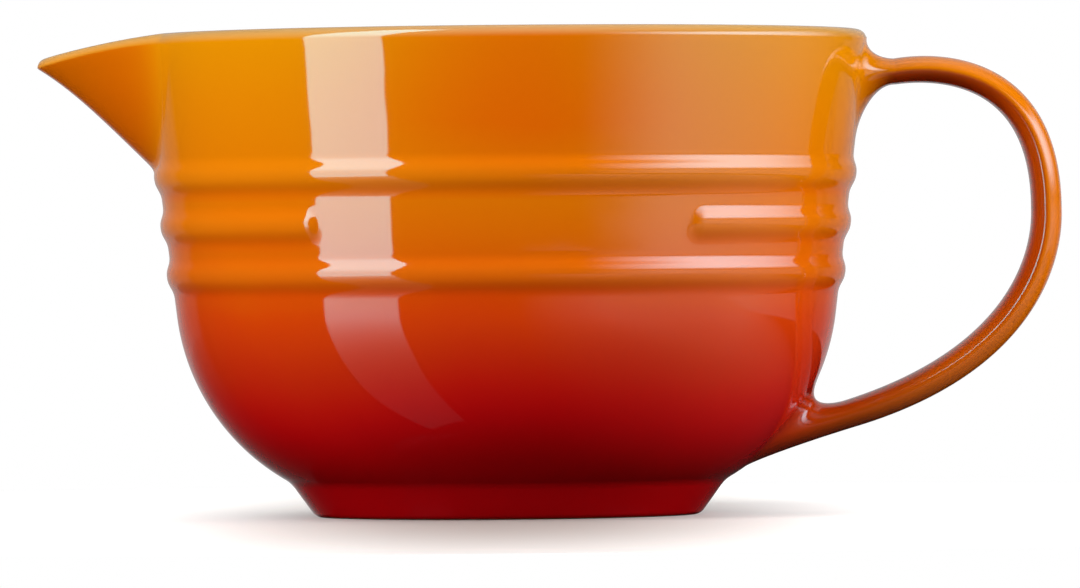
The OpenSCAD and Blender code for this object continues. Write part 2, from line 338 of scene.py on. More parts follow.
def glaze_material(name, colour_from, ripple_depth=WALL_RIPPLE, roughness=GLAZE_ROUGHNESS):
    """A glossy fired glaze. colour_from(tree, place, height, front) makes its colour."""
    glaze = bpy.data.materials.new(name)
    tree = empty_tree(glaze)
    place = add_node(tree, TEXTURE_PLACE).outputs["Object"]
    run = add_node(tree, "ShaderNodeTexNoise", {"Vector": place, "Scale": RUN_SCALE, "Detail": 3.0})
    drift = add_node(tree, MATH, [run, 0.5], operation="SUBTRACT")
    drift = add_node(tree, MATH, [drift, RUN_DRIFT], operation="MULTIPLY")
    height = add_node(tree, SEPARATE, [place]).outputs["Z"]
    height = add_node(tree, MATH, [height, drift], operation="ADD")
    front = front_shade_share(tree, place)
    # Painted shade: down the front the colours are taken from lower down the bowl
    shade_lowered = add_node(tree, MAP_RANGE, [height, DROP_FROM_H, DROP_FULL_H, 0.0, FRONT_SHADE_DROP])
    shade_lowered = add_node(tree, MATH, [front, shade_lowered], operation="MULTIPLY")
    height = add_node(tree, MATH, [height, shade_lowered], operation="SUBTRACT")
    colour = colour_from(tree, place, height, front)
    ripple = add_node(tree, "ShaderNodeTexNoise", {"Vector": place, "Scale": RIPPLE_SCALE, "Detail": 1.0})
    peel = add_node(tree, "ShaderNodeTexNoise", {"Vector": place, "Scale": PEEL_SCALE, "Detail": 1.0})
    wave = add_node(tree, "ShaderNodeBump", {"Height": ripple, "Strength": 1.0, "Distance": ripple_depth})
    wave = add_node(tree, "ShaderNodeBump",
                    {"Height": peel, "Strength": 1.0, "Distance": PEEL_DEPTH, "Normal": wave})
    gloss = add_node(tree, "ShaderNodeBsdfPrincipled", {
        "Base Color": colour, "Roughness": roughness, "IOR": GLAZE_IOR, "Normal": wave})
    add_node(tree, "ShaderNodeOutputMaterial", [gloss])
    return glaze


# The bowl's colours, from the foot up, outside and inside
# Low on the belly these colours are made lighter, to stand in for light bounced up from below: painted light
WALL_STOPS = [
    (2, "#B8030B"), (9, "#B00208"), (14, "#B80308"), (20, "#C8050B"), (25, "#D00B0D"), (31, "#D4180E"),
    (37, "#D0280D"), (43, "#D0320B"), (48, "#D23A0A"), (53, "#D44006"), (57, "#D64804"), (64, "#DA5B04"),
    (74, "#DE6A03"), (84, "#E07302"), (96, "#E07C02"), (112, "#E08302"), (122, "#E08902"), (130, "#E08E02")]
INSIDE_STOPS = [(14, "#C85A08"), (24, "#D06808"), (60, "#D87804"), (130, "#DE8604")]
# Thin on the ribs' crests, with painted light on them too; thin on the lip, with a painted pale reflection
# there too; pooled under the ribs, with painted shade there too; darker and redder on the spout's flanks; and
# painted shade down the front
CREST_AMBER_AND_LIGHT, CREST_SHARE = "#E89018", 0.16
LIP_TAN_AND_SHEEN, LIP_SHARE = "#C9A66C", 0.85
POOL_AND_SHADE_TINT = "#FFECF0"
FLANK_TINT = "#F7C8BC"
FRONT_SHADE_TINT = "#FFCDD8"
FRONT_SHADE_FROM_H, FRONT_SHADE_FULL_H = 84 * MM, 104 * MM


def bowl_colour(tree, place, height, front):
    on = {name: add_node(tree, "ShaderNodeAttribute", attribute_name=name).outputs["Fac"]
          for name in ("flank", "inside", "rise", "pool_and_shade", "lip", "neck")}
    colour = glaze_by_height(tree, height, WALL_STOPS)
    colour = add_node(tree, MIX, {"Factor": on["flank"], "A": colour, "B": linear(FLANK_TINT)}, **TINT)
    inside = glaze_by_height(tree, height, INSIDE_STOPS)
    colour = add_node(tree, MIX, {"Factor": on["inside"], "A": colour, "B": inside}, **COVER)
    # The ribs' crests are paler: glaze drawn thin there, and painted light on them
    thin_and_lit = add_node(tree, MATH, [on["rise"], CREST_SHARE], operation="MULTIPLY")
    colour = add_node(tree, MIX, {"Factor": thin_and_lit, "A": colour, "B": linear(CREST_AMBER_AND_LIGHT)}, **COVER)
    # Under the ribs the glaze is darker: partly pooled glaze, partly painted shade
    colour = add_node(tree, MIX, {"Factor": on["pool_and_shade"], "A": colour, "B": linear(POOL_AND_SHADE_TINT)}, **TINT)
    # Painted shade: the upper front is tinted redder
    red = add_node(tree, MAP_RANGE, [height, FRONT_SHADE_FROM_H, FRONT_SHADE_FULL_H])
    red = add_node(tree, MATH, [front, red], operation="MULTIPLY")
    colour = add_node(tree, MIX, {"Factor": red, "A": colour, "B": linear(FRONT_SHADE_TINT)}, **TINT)
    # The lip is paler: glaze drawn thin there, and a painted pale reflection on it
    edge = add_node(tree, MATH, [on["lip"], LIP_SHARE], operation="MULTIPLY")
    colour = add_node(tree, MIX, {"Factor": edge, "A": colour, "B": linear(LIP_TAN_AND_SHEEN)}, **COVER)
    # The upper root of the handle takes over the strap's colours towards its neck
    strap = strap_colour(tree, place, height, front)
    return add_node(tree, MIX, {"Factor": on["neck"], "A": colour, "B": strap}, **COVER)


# The foot stands on a bearing face that was wiped clean of glaze before firing
BARE_CLAY = "#B08A68"
BARE_H, GLAZED_H = 0.15 * MM, 0.35 * MM


def foot_colour(tree, place, height, front):
    red = glaze_by_height(tree, height, WALL_STOPS)
    bare = add_node(tree, SEPARATE, [place]).outputs["Z"]
    bare = add_node(tree, MAP_RANGE, [bare, BARE_H, GLAZED_H, 1.0, 0.0])
    return add_node(tree, MIX, {"Factor": bare, "A": red, "B": linear(BARE_CLAY)}, **COVER)


# The strap's glaze goes by its own length, from the upper end to the lower, and on along the lower root
# Towards its lower end the strap's colours are made lighter, to stand in for light from below: painted light
STRAP_BANDS = [(0, "#DC7C00"), (0.3, "#DC7606"), (0.62, "#D86C08"), (0.85, "#D46208"), (1, "#CC5206")]
ROOT_BANDS = [(0, "#CC5206"), (0.35, "#C24008"), (1, "#A8140A")]
# Painted shade on the palm's side of the strap and on the upper root's underside
PALM_SHADE_TINT = "#D09A8A"


def strap_colour(tree, place, height, front):
    along = add_node(tree, "ShaderNodeAttribute", attribute_name="along").outputs["Fac"]
    palm_shade = add_node(tree, "ShaderNodeAttribute", attribute_name="palm_shade").outputs["Fac"]
    colour = glaze_bands(tree, along, STRAP_BANDS)
    return add_node(tree, MIX, {"Factor": palm_shade, "A": colour, "B": linear(PALM_SHADE_TINT)}, **TINT)


def lower_root_colour(tree, place, height, front):
    along = add_node(tree, "ShaderNodeAttribute", attribute_name="along").outputs["Fac"]
    return glaze_bands(tree, along, ROOT_BANDS)


bowl_glaze = glaze_material("amber over iron-red stoneware glaze", bowl_colour)
foot_glaze = glaze_material("iron-red stoneware glaze on the foot", foot_colour)
strap_glaze = glaze_material("amber stoneware glaze on the strap", strap_colour,
                             STRAP_RIPPLE, STRAP_ROUGHNESS)
root_glaze = glaze_material("red-brown stoneware glaze at the lower root", lower_root_colour,
                            ROOT_RIPPLE, ROOT_ROUGHNESS)


# The bowl's skin: the outline from the middle of the underside round the lip to the middle of the floor
WALL_STEP = 1.7 * MM
RIB_STEP = 0.5 * MM
INSIDE_STEP = 3.6 * MM
LIP_STEPS = 18
RIB_CLEAR = 1 * MM
RIB_FOOT_H = TOP_RIB_H - 2 * RIB_PITCH - RIB_W / 2 - RIB_CLEAR
RIB_TOP_H = TOP_RIB_H + RIB_W / 2 + RIB_CLEAR
LIP_OUTER_Z = LIP_Z - LIP_R * math.sin(WALL_LEAN)
LIP_INNER_Z = LIP_Z + LIP_R * math.sin(WALL_LEAN)


def wall_line(face, low, high, step):
    return line([face(low), low], [face(high), high], max(1, round(abs(high - low) / step)))


belly_steps = round(BELLY_R * (-WALL_LEAN - BELLY_ANGLE) / WALL_STEP)
outside = np.vstack([
    [[0, FOOT_H]],
    line([0, FOOT_H], [FOOT_TOP_X, FOOT_H], 4)[:-1],
    arc(BELLY_X, BELLY_Z, BELLY_R, BELLY_ANGLE, -WALL_LEAN, belly_steps),
    wall_line(wall_outer, BELLY_TOP_H, RIB_FOOT_H, WALL_STEP),
    wall_line(wall_outer, RIB_FOOT_H, RIB_TOP_H, RIB_STEP),
    wall_line(wall_outer, RIB_TOP_H, LIP_OUTER_Z, WALL_STEP),
])
lip = arc(LIP_X, LIP_Z, LIP_R, -WALL_LEAN, math.pi - WALL_LEAN, LIP_STEPS)[1:]
inside = np.vstack([
    wall_line(wall_inner, LIP_INNER_Z, BELLY_TOP_H, INSIDE_STEP),
    arc(BELLY_X, BELLY_Z, BELLY_INNER_R, -WALL_LEAN, CURVE_END, 16)[1:],
    arc(CURVE_X, CURVE_Z, FLOOR_CURVE_R, CURVE_END, -math.pi / 2, 14)[1:],
    line([CURVE_X, FLOOR_Z], [0, FLOOR_Z], 6),
])
outline = np.vstack([outside, lip, inside])
row_r, row_z = outline[:, 0], outline[:, 1]
rows = len(outline)
lip_angle = np.concatenate([
    np.full(len(outside), -WALL_LEAN), np.linspace(-WALL_LEAN, math.pi - WALL_LEAN, LIP_STEPS + 1)[1:],
    np.full(len(inside), math.pi)])
# 0 on the outer face, 1 on the inner one
across_lip = np.where(row_z > LIP_Z, (1 - np.cos(np.clip(lip_angle, 0, math.pi))) / 2, lip_angle > 1)

# Columns of the skin, closer together round the spout, which lies at 180 degrees
SPOUT_HALF_ANGLE = math.radians(30)
SPOUT_COLUMNS, OTHER_COLUMNS = 96, 352
near = np.linspace(-SPOUT_HALF_ANGLE, SPOUT_HALF_ANGLE, SPOUT_COLUMNS + 1)
far = np.linspace(SPOUT_HALF_ANGLE, 2 * math.pi - SPOUT_HALF_ANGLE, OTHER_COLUMNS + 1)[1:-1]
turn = np.concatenate([near, far]) + math.pi
columns = len(turn)

# The spout: the wall inside a half-oval notch is pulled outwards, most at the middle
NOTCH_DEPTH = RIM_H - SPOUT_ROOT_H
NOTCH_BASE_Z = RIM_H - NOTCH_DEPTH * math.cos(NOTCH_BASE_ANGLE)
TIP_SHARE = (LIP_Z - SPOUT_DROP - NOTCH_BASE_Z) / (LIP_Z - NOTCH_BASE_Z)
CHANNEL_SHARE = 1 - WALL_T / (SPOUT_W / 2)
CHANNEL_REACH = SPOUT_REACH + WALL_T / math.cos(WALL_LEAN) - SPOUT_LIP_T
NOSE_POWER = 1.7
DROP_POWER = 1.5
CURL_SHARE = 0.12
CURL_POWER = 5
LEAST_SHARE = 1e-6


def bell(aside):
    """1 at the spout's middle and 0 at its sides."""
    return np.clip(1 - aside * aside, 0, 1) ** NOSE_POWER


z = row_z[:, None]
x = row_r[:, None] * np.cos(turn)[None, :]
y = row_r[:, None] * np.sin(turn)[None, :]
up = np.clip((z - NOTCH_BASE_Z) / (LIP_Z - NOTCH_BASE_Z), 0, 1)
half = SPOUT_W / 2 * np.sqrt(np.clip(1 - ((RIM_H - z) / NOTCH_DEPTH) ** 2, LEAST_SHARE, 1))
aside = np.where((x < 0) & (up > 0), y / half, 1)
inner = across_lip[:, None]
pull = (1 - inner) * SPOUT_REACH * bell(aside) + inner * CHANNEL_REACH * bell(aside / CHANNEL_SHARE)
pull = pull * ((1 - CURL_SHARE) * up + CURL_SHARE * up ** CURL_POWER)
tip_z = NOTCH_BASE_Z + (np.minimum(z, LIP_Z) - NOTCH_BASE_Z) * TIP_SHARE + np.maximum(z - LIP_Z, 0)
drop = np.where(up > 0, (tip_z - z) * bell(aside) ** DROP_POWER, 0)
skin = np.stack([x - pull, y, z + drop], axis=2)

# Points by row, with one point at each pole
first, last = 1, rows - 1
points = np.vstack([[[0, 0, row_z[0]]], skin[first:last].reshape(-1, 3), [[0, 0, row_z[-1]]]])


def point_at(row, column):
    return 1 + (row - first) * columns + column % columns


faces = [(0, point_at(first, c + 1), point_at(first, c)) for c in range(columns)]
faces += [(point_at(r, c), point_at(r, c + 1), point_at(r + 1, c + 1), point_at(r + 1, c))
          for r in range(first, last - 1) for c in range(columns)]
faces += [(len(points) - 1, point_at(last - 1, c), point_at(last - 1, c + 1)) for c in range(columns)]
bowl = new_object("bowl_skin", points, faces)


def by_point(values):
    """One number per row and column as one number per point."""
    values = np.broadcast_to(values, (rows, columns))
    return np.concatenate([[values[0, 0]], values[first:last].ravel(), [values[-1, 0]]])


# Where the ribs run out into the spout, where its flanks begin, and where the inside's colour takes over
RIB_RUN_OUT = 1.5 * MM
FLANK_RUN_IN = 2.5 * MM
OUTSIDE_LIP_STEPS = 12
LIP_POWER = 0.7
number = np.arange(rows)[:, None]
is_outer = number < len(outside)
store(bowl.data, "wall_height", by_point(z))
store(bowl.data, "ribbed", by_point(is_outer * np.exp(-pull / RIB_RUN_OUT)))
store(bowl.data, "flank", by_point(is_outer * (1 - np.exp(-pull / FLANK_RUN_IN))))
store(bowl.data, "inside", by_point(number >= len(outside) + OUTSIDE_LIP_STEPS))
store(bowl.data, "lip", by_point(np.clip(np.sin(lip_angle), 0, 1)[:, None] ** LIP_POWER * (z > LIP_Z)))

# Raised ribs round the wall: the middle one stops at both sides of the bare band, in a rounded end
HOLLOW_SHARE = 0.36
HOLLOW_SPREAD = 0.18
rib_sizes = {"Top crest": TOP_RIB_H, "Pitch": RIB_PITCH, "Count": 3, "Width": RIB_W, "Height": RIB_OUT,
             "Steepness": RIB_STEEPNESS, "Bare angle": BARE_ANGLE, "End angle": RIB_END_ANGLE,
             "Hollow share": HOLLOW_SHARE, "Hollow spread": HOLLOW_SPREAD}
tree, source, sink = shaping_tree("raised ribs", rib_sizes)
size = source.outputs
where = add_node(tree, "GeometryNodeInputPosition")
parts = add_node(tree, SEPARATE, [where]).outputs
height = add_node(tree, "GeometryNodeInputNamedAttribute", {"Name": "wall_height"})
ribbed = add_node(tree, "GeometryNodeInputNamedAttribute", {"Name": "ribbed"})
# The nearest rib's number from the top, and the way down from its crest
last_rib = add_node(tree, MATH, [size["Count"], 1.0], operation="SUBTRACT")
below = add_node(tree, MATH, [size["Top crest"], height], operation="SUBTRACT")
nearest = add_node(tree, MATH, [below, size["Pitch"]], operation="DIVIDE")
nearest = add_node(tree, MATH, [nearest], operation="ROUND")
nearest = add_node(tree, MATH, [nearest, 0.0], operation="MAXIMUM")
nearest = add_node(tree, MATH, [nearest, last_rib], operation="MINIMUM")
crest = add_node(tree, MATH, [nearest, size["Pitch"]], operation="MULTIPLY")
across = add_node(tree, MATH, [below, crest], operation="SUBTRACT")
# The way past the middle rib's end
facing = add_node(tree, MATH, [parts["Y"], -1.0], operation="MULTIPLY")
facing = add_node(tree, MATH, [parts["X"], facing], operation="ARCTAN2")
facing = add_node(tree, MATH, [facing], operation="ABSOLUTE")
past = add_node(tree, MATH, [size["Bare angle"], 2.0], operation="DIVIDE")
past = add_node(tree, MATH, [past, size["End angle"]], operation="ADD")
past = add_node(tree, MATH, [past, facing], operation="SUBTRACT")
past = add_node(tree, MATH, [past, 0.0], operation="MAXIMUM")
past = add_node(tree, MATH, [past, size["End angle"]], operation="DIVIDE")
middle_rib = add_node(tree, MATH, [last_rib, 2.0], operation="DIVIDE")
is_middle = add_node(tree, MATH, [nearest, middle_rib, 0.1], operation="COMPARE")
half_width = add_node(tree, MATH, [size["Width"], 2.0], operation="DIVIDE")
past = add_node(tree, MATH, [past, is_middle], operation="MULTIPLY")
past = add_node(tree, MATH, [past, half_width], operation="MULTIPLY")
# A rib's section is one wave, with its flanks made steeper
away = add_node(tree, MATH, [past, past], operation="MULTIPLY")
away = add_node(tree, MATH, [across, across, away], operation="MULTIPLY_ADD")
away = add_node(tree, MATH, [away], operation="SQRT")
share = add_node(tree, MATH, [away, size["Width"]], operation="DIVIDE")
share = add_node(tree, MATH, [share, 0.5], operation="MINIMUM")
wave = add_node(tree, MATH, [share, 2 * math.pi], operation="MULTIPLY")
wave = add_node(tree, MATH, [wave], operation="COSINE")
wave = add_node(tree, MATH, [wave, 0.5, 0.5], operation="MULTIPLY_ADD")
steep = add_node(tree, MAP_RANGE, [wave], interpolation_type="SMOOTHSTEP")
steep = add_node(tree, MATH, [steep, wave], operation="SUBTRACT")
wave = add_node(tree, MATH, [steep, size["Steepness"], wave], operation="MULTIPLY_ADD")
rise = add_node(tree, MATH, [wave, ribbed], operation="MULTIPLY")
outward = add_node(tree, VECTOR_MATH, [where, (1, 1, 0)], operation="MULTIPLY")
outward = add_node(tree, VECTOR_MATH, [outward], operation="NORMALIZE")
step = add_node(tree, MATH, [rise, size["Height"]], operation="MULTIPLY")
step = add_node(tree, VECTOR_MATH, {0: outward, "Scale": step}, operation="SCALE")
moved = add_node(tree, "GeometryNodeSetPosition", {"Geometry": size["Geometry"], "Offset": step})
noted = add_node(tree, STORE, {"Geometry": moved, "Name": "rise", "Value": rise}, **ON_POINTS)
# The hollow under each rib, where the glaze pools and where painted shade darkens it
pool_and_shade = add_node(tree, MATH, [size["Width"], size["Hollow share"]], operation="MULTIPLY")
pool_and_shade = add_node(tree, MATH, [across, pool_and_shade], operation="SUBTRACT")
spread = add_node(tree, MATH, [size["Width"], size["Hollow spread"]], operation="MULTIPLY")
pool_and_shade = add_node(tree, MATH, [pool_and_shade, spread], operation="DIVIDE")
pool_and_shade = add_node(tree, MATH, [pool_and_shade, pool_and_shade], operation="MULTIPLY")
pool_and_shade = add_node(tree, MATH, [pool_and_shade, -1.0], operation="MULTIPLY")
pool_and_shade = add_node(tree, MATH, [pool_and_shade], operation="EXPONENT")
pool_and_shade = add_node(tree, MATH, [pool_and_shade, ribbed], operation="MULTIPLY")
bare = add_node(tree, MATH, [past, size["Width"]], operation="DIVIDE")
bare = add_node(tree, MATH, [bare, 1.0], operation="MINIMUM")
bare = add_node(tree, MATH, [bare, is_middle], operation="MULTIPLY")
bare = add_node(tree, MATH, [1.0, bare], operation="SUBTRACT")
pool_and_shade = add_node(tree, MATH, [pool_and_shade, bare], operation="MULTIPLY")
noted = add_node(tree, STORE, {"Geometry": noted, "Name": "pool_and_shade", "Value": pool_and_shade}, **ON_POINTS)
end_tree(tree, source, sink, noted)
bowl = shaped(bowl, tree, rib_sizes, bowl_glaze)
finish_piece(bowl, bowl_glaze, ["bowl_body", "spout"])

# The foot: its outline turned round the axis
BLEND_X = float(belly_outer(FOOT_BLEND_H))
BLEND_ANGLE = math.atan2(FOOT_BLEND_H - BELLY_Z, BLEND_X - BELLY_X)
COVE_X = BLEND_X + FOOT_COVE_R * math.cos(BLEND_ANGLE)
COVE_Z = FOOT_BLEND_H + FOOT_COVE_R * math.sin(BLEND_ANGLE)
BAND_X = COVE_X - FOOT_COVE_R * math.cos(FOOT_LEAN)
BAND_Z = COVE_Z + FOOT_COVE_R * math.sin(FOOT_LEAN)
FOOT_EDGE_X = BAND_X - (FOOT_EDGE_R + (BAND_Z - FOOT_EDGE_R) * math.sin(FOOT_LEAN)) / math.cos(FOOT_LEAN)
RECESS_X = FOOT_EDGE_X - FOOT_FACE_W
foot_outline = np.vstack([
    arc(COVE_X, COVE_Z, FOOT_COVE_R, math.pi + BLEND_ANGLE, math.pi - FOOT_LEAN, 14),
    line([BAND_X, BAND_Z], [FOOT_EDGE_X + FOOT_EDGE_R * math.cos(FOOT_LEAN),
                            FOOT_EDGE_R - FOOT_EDGE_R * math.sin(FOOT_LEAN)], 3),
    arc(FOOT_EDGE_X, FOOT_EDGE_R, FOOT_EDGE_R, -FOOT_LEAN, -math.pi / 2, 12)[1:],
    line([FOOT_EDGE_X, 0], [RECESS_X, 0], 4),
    arc(RECESS_X, RECESS_EDGE_R, RECESS_EDGE_R, -math.pi / 2, -math.pi, 8)[1:],
    line([RECESS_X - RECESS_EDGE_R, RECESS_EDGE_R], [RECESS_X - RECESS_EDGE_R, FOOT_H], 6),
])
foot = new_object("glazed_foot_ring", [(p[0], 0, p[1]) for p in foot_outline], [])
foot_sizes = {"Columns": 256}
tree, source, sink = shaping_tree("turned on the wheel", foot_sizes)
size = source.outputs
# A sheet with one column per turn step and one row per point of the outline, and the first row once more
count = add_node(tree, "GeometryNodeAttributeDomainSize", [size["Geometry"]], component="MESH")
wide = add_node(tree, MATH, [size["Columns"], 1.0], operation="ADD")
tall = add_node(tree, MATH, [count, 1.0], operation="ADD")
sheet, turned, along = sheet_of_points(tree, wide, tall)
row = add_node(tree, MATH, [along, count], operation="MULTIPLY")
row = add_node(tree, MATH, [row], operation="ROUND")
row = add_node(tree, MATH, [row, count], operation="FLOORED_MODULO")
where = add_node(tree, "GeometryNodeInputPosition")
sampled = add_node(tree, "GeometryNodeSampleIndex",
                   {"Geometry": size["Geometry"], "Value": where, "Index": row},
                   data_type="FLOAT_VECTOR", domain="POINT")
angle = add_node(tree, MATH, [turned, 2 * math.pi], operation="MULTIPLY")
spun = add_node(tree, "ShaderNodeVectorRotate", {"Vector": sampled, "Axis": (0, 0, 1), "Angle": angle},
                rotation_type="AXIS_ANGLE")
placed = add_node(tree, "GeometryNodeSetPosition", {"Geometry": sheet, "Position": spun})
closed = add_node(tree, "GeometryNodeMergeByDistance", {"Geometry": placed, "Distance": SAME_POINT})
end_tree(tree, source, sink, closed)
foot = shaped(foot, tree, foot_sizes, foot_glaze)
finish_piece(foot, foot_glaze, ["foot_ring"])

# The strap's middle line: two curves that meet at the point furthest out
SHOULDER_SHARE = 0.02
CROOK_SHARE = 1.21
PALM_SHARE = 0.05
TAIL_SHARE = 1.09
upper_end = np.array([wall_outer(STRAP_TOP_H) + UPPER_ROOT_LEN, STRAP_TOP_H])
grip = np.array([RIM_D / 2 + STRAP_REACH - STRAP_GRIP_T / 2, STRAP_GRIP_H])
lower_end = np.array([float(belly_outer(STRAP_TAIL_H)) + LOWER_ROOT_LEN, STRAP_TAIL_H])
tail_way = np.array([math.cos(STRAP_TAIL_RISE), math.sin(STRAP_TAIL_RISE)])
shoulder = [(grip - upper_end)[0] * SHOULDER_SHARE, 0]
crook = [0, (upper_end - grip)[1] * CROOK_SHARE]
palm_way = [0, (grip - lower_end)[1] * PALM_SHARE]
tail = tail_way * (grip - lower_end)[0] * TAIL_SHARE
knots = [
    (upper_end, upper_end - [STRAP_TUCK, 0], upper_end + shoulder),
    (grip, grip + crook, grip - palm_way),
    (lower_end, lower_end + tail, lower_end - tail_way * STRAP_TUCK),
]
path = bpy.data.curves.new("handle_strap", "CURVE")
path.dimensions = "3D"
path.resolution_u = 64
spline = path.splines.new("BEZIER")
spline.bezier_points.add(len(knots) - 1)
for knot, (at, before, after) in zip(spline.bezier_points, knots):
    knot.handle_left_type = knot.handle_right_type = "FREE"
    knot.co, knot.handle_left, knot.handle_right = [(p[0], 0, p[1]) for p in (at, before, after)]
handle = bpy.data.objects.new("handle_strap", path)
bpy.context.scene.collection.objects.link(handle)

# The strap is pulled along its line: a crowned section whose two faces meet in a soft ridge on each side
CROWN_POWER = 2.5
RIDGE_POWER = 2.0
END_CROWDING = 0.75
PALM_FROM_SINE, PALM_FULL_SINE = 0.1, -0.2
PALM_FULL_SHARE, PALM_END_SHARE = 0.55, 0.85
strap_sizes = {"Width": STRAP_W, "Thickness": STRAP_T, "Grip thickness": STRAP_GRIP_T,
               "Tail thickness": STRAP_TAIL_T, "Crown power": CROWN_POWER, "Ridge power": RIDGE_POWER,
               "Rings": 220, "Sides": 72, "End crowding": END_CROWDING}
tree, source, sink = shaping_tree("strap pulled along a line", strap_sizes)
size = source.outputs
# A sheet with one column per ring, one more at each end to close it, and one row per side
wide = add_node(tree, MATH, [size["Rings"], 3.0], operation="ADD")
tall = add_node(tree, MATH, [size["Sides"], 1.0], operation="ADD")
sheet, along, turned = sheet_of_points(tree, wide, tall)
last_ring = add_node(tree, MATH, [size["Rings"], 2.0], operation="ADD")
ring = add_node(tree, MATH, [along, last_ring], operation="MULTIPLY")
ring = add_node(tree, MATH, [ring], operation="ROUND")
share = add_node(tree, MATH, [ring, 1.0], operation="SUBTRACT")
share = add_node(tree, MATH, [share, size["Rings"]], operation="DIVIDE")
share = add_node(tree, MATH, [share, 0.0], operation="MAXIMUM")
share = add_node(tree, MATH, [share, 1.0], operation="MINIMUM")
crowd = add_node(tree, MATH, [share, 2 * math.pi], operation="MULTIPLY")
crowd = add_node(tree, MATH, [crowd], operation="SINE")
crowd = add_node(tree, MATH, [crowd, 2 * math.pi], operation="DIVIDE")
crowd = add_node(tree, MATH, [size["End crowding"], crowd], operation="MULTIPLY")
share = add_node(tree, MATH, [share, crowd], operation="SUBTRACT")
# The first and last rings are drawn to a point, which closes the strap's ends
not_first = add_node(tree, MATH, [ring, 0.5], operation="GREATER_THAN")
not_last = add_node(tree, MATH, [size["Rings"], 1.5], operation="ADD")
not_last = add_node(tree, MATH, [ring, not_last], operation="LESS_THAN")
is_open = add_node(tree, MATH, [not_first, not_last], operation="MULTIPLY")
at = add_node(tree, "GeometryNodeSampleCurve", {"Curves": size["Geometry"], "Factor": share}, mode="FACTOR",
              use_all_curves=True).outputs
angle = add_node(tree, MATH, [turned, 2 * math.pi], operation="MULTIPLY")


def section(tree, wave, power, reach):
    """One coordinate of the strap's section: a sine or cosine raised to a power, times half a size."""
    power = add_node(tree, MATH, [2.0, power], operation="DIVIDE")
    flat = add_node(tree, MATH, [wave], operation="ABSOLUTE")
    flat = add_node(tree, MATH, [flat, power], operation="POWER")
    side = add_node(tree, MATH, [wave], operation="SIGN")
    flat = add_node(tree, MATH, [side, flat], operation="MULTIPLY")
    half_reach = add_node(tree, MATH, [reach, 2.0], operation="DIVIDE")
    half_reach = add_node(tree, MATH, [half_reach, is_open], operation="MULTIPLY")
    return add_node(tree, MATH, [flat, half_reach], operation="MULTIPLY")


cosine = add_node(tree, MATH, [angle], operation="COSINE")
sine = add_node(tree, MATH, [angle], operation="SINE")
breadth = section(tree, cosine, size["Crown power"], size["Width"])
# The thickness goes from the upper end's to the tail's, and swells to the grip's in the middle
rest = add_node(tree, MATH, [1.0, share], operation="SUBTRACT")
thick = add_node(tree, MATH, [share, size["Tail thickness"]], operation="MULTIPLY")
thick = add_node(tree, MATH, [rest, size["Thickness"], thick], operation="MULTIPLY_ADD")
swell = add_node(tree, MATH, [size["Thickness"], size["Tail thickness"]], operation="ADD")
swell = add_node(tree, MATH, [swell, 0.5], operation="MULTIPLY")
swell = add_node(tree, MATH, [size["Grip thickness"], swell], operation="SUBTRACT")
middle = add_node(tree, MATH, [rest, share], operation="MULTIPLY")
middle = add_node(tree, MATH, [middle, 4.0], operation="MULTIPLY")
thick = add_node(tree, MATH, [middle, swell, thick], operation="MULTIPLY_ADD")
depth = section(tree, sine, size["Ridge power"], thick)
sideways = add_node(tree, "ShaderNodeCombineXYZ", {"Y": breadth})
outwards = add_node(tree, VECTOR_MATH, [at["Tangent"], (0, 1, 0)], operation="CROSS_PRODUCT")
outwards = add_node(tree, VECTOR_MATH, {0: outwards, "Scale": depth}, operation="SCALE")
offset = add_node(tree, VECTOR_MATH, [sideways, outwards], operation="ADD")
spot = add_node(tree, VECTOR_MATH, [at["Position"], offset], operation="ADD")
# Painted shade: the palm's side of the strap, away from the lamps, is browner, down to where the strap turns
# in
palm_shade = add_node(tree, MAP_RANGE, [sine, PALM_FROM_SINE, PALM_FULL_SINE],
                interpolation_type="SMOOTHSTEP")
fades = add_node(tree, MAP_RANGE, [share, PALM_FULL_SHARE, PALM_END_SHARE, 1.0, 0.0],
                 interpolation_type="SMOOTHSTEP")
palm_shade = add_node(tree, MATH, [palm_shade, fades], operation="MULTIPLY")
noted = add_node(tree, STORE, {"Geometry": sheet, "Name": "along", "Value": share}, **ON_POINTS)
noted = add_node(tree, STORE, {"Geometry": noted, "Name": "palm_shade", "Value": palm_shade}, **ON_POINTS)
placed = add_node(tree, "GeometryNodeSetPosition", {"Geometry": noted, "Position": spot})
closed = add_node(tree, "GeometryNodeMergeByDistance", {"Geometry": placed, "Distance": SAME_POINT})
end_tree(tree, source, sink, closed)
handle = shaped(handle, tree, strap_sizes, strap_glaze)
finish_piece(handle, strap_glaze, ["handle"])


# The two roots: clay thumbed out from the strap's end on to the bowl
ROOT_SIDES = 72
ROOT_STEPS = 26
ROOT_REACH = 45 * MM
HALVINGS = 40
OUTER_SHARE = 1.06
SETTLE = 0.04 * MM
SINK = 1.2 * MM
POLE_SINK = 1 * MM
root_turn = np.linspace(0, 2 * math.pi, ROOT_SIDES, endpoint=False)


def onto_bowl(point, way):
    """Distance from a point to the bowl's outer face, against the strap's way."""
    near_end, far_end = np.zeros(len(point)), np.full(len(point), ROOT_REACH)
    for _ in range(HALVINGS):
        middle = (near_end + far_end) / 2
        there = point - way * middle[:, None]
        in_bowl = np.hypot(there[:, 0], there[:, 1]) < bowl_outer(there[:, 2])
        near_end, far_end = np.where(in_bowl, near_end, middle), np.where(in_bowl, middle, far_end)
    return (near_end + far_end) / 2


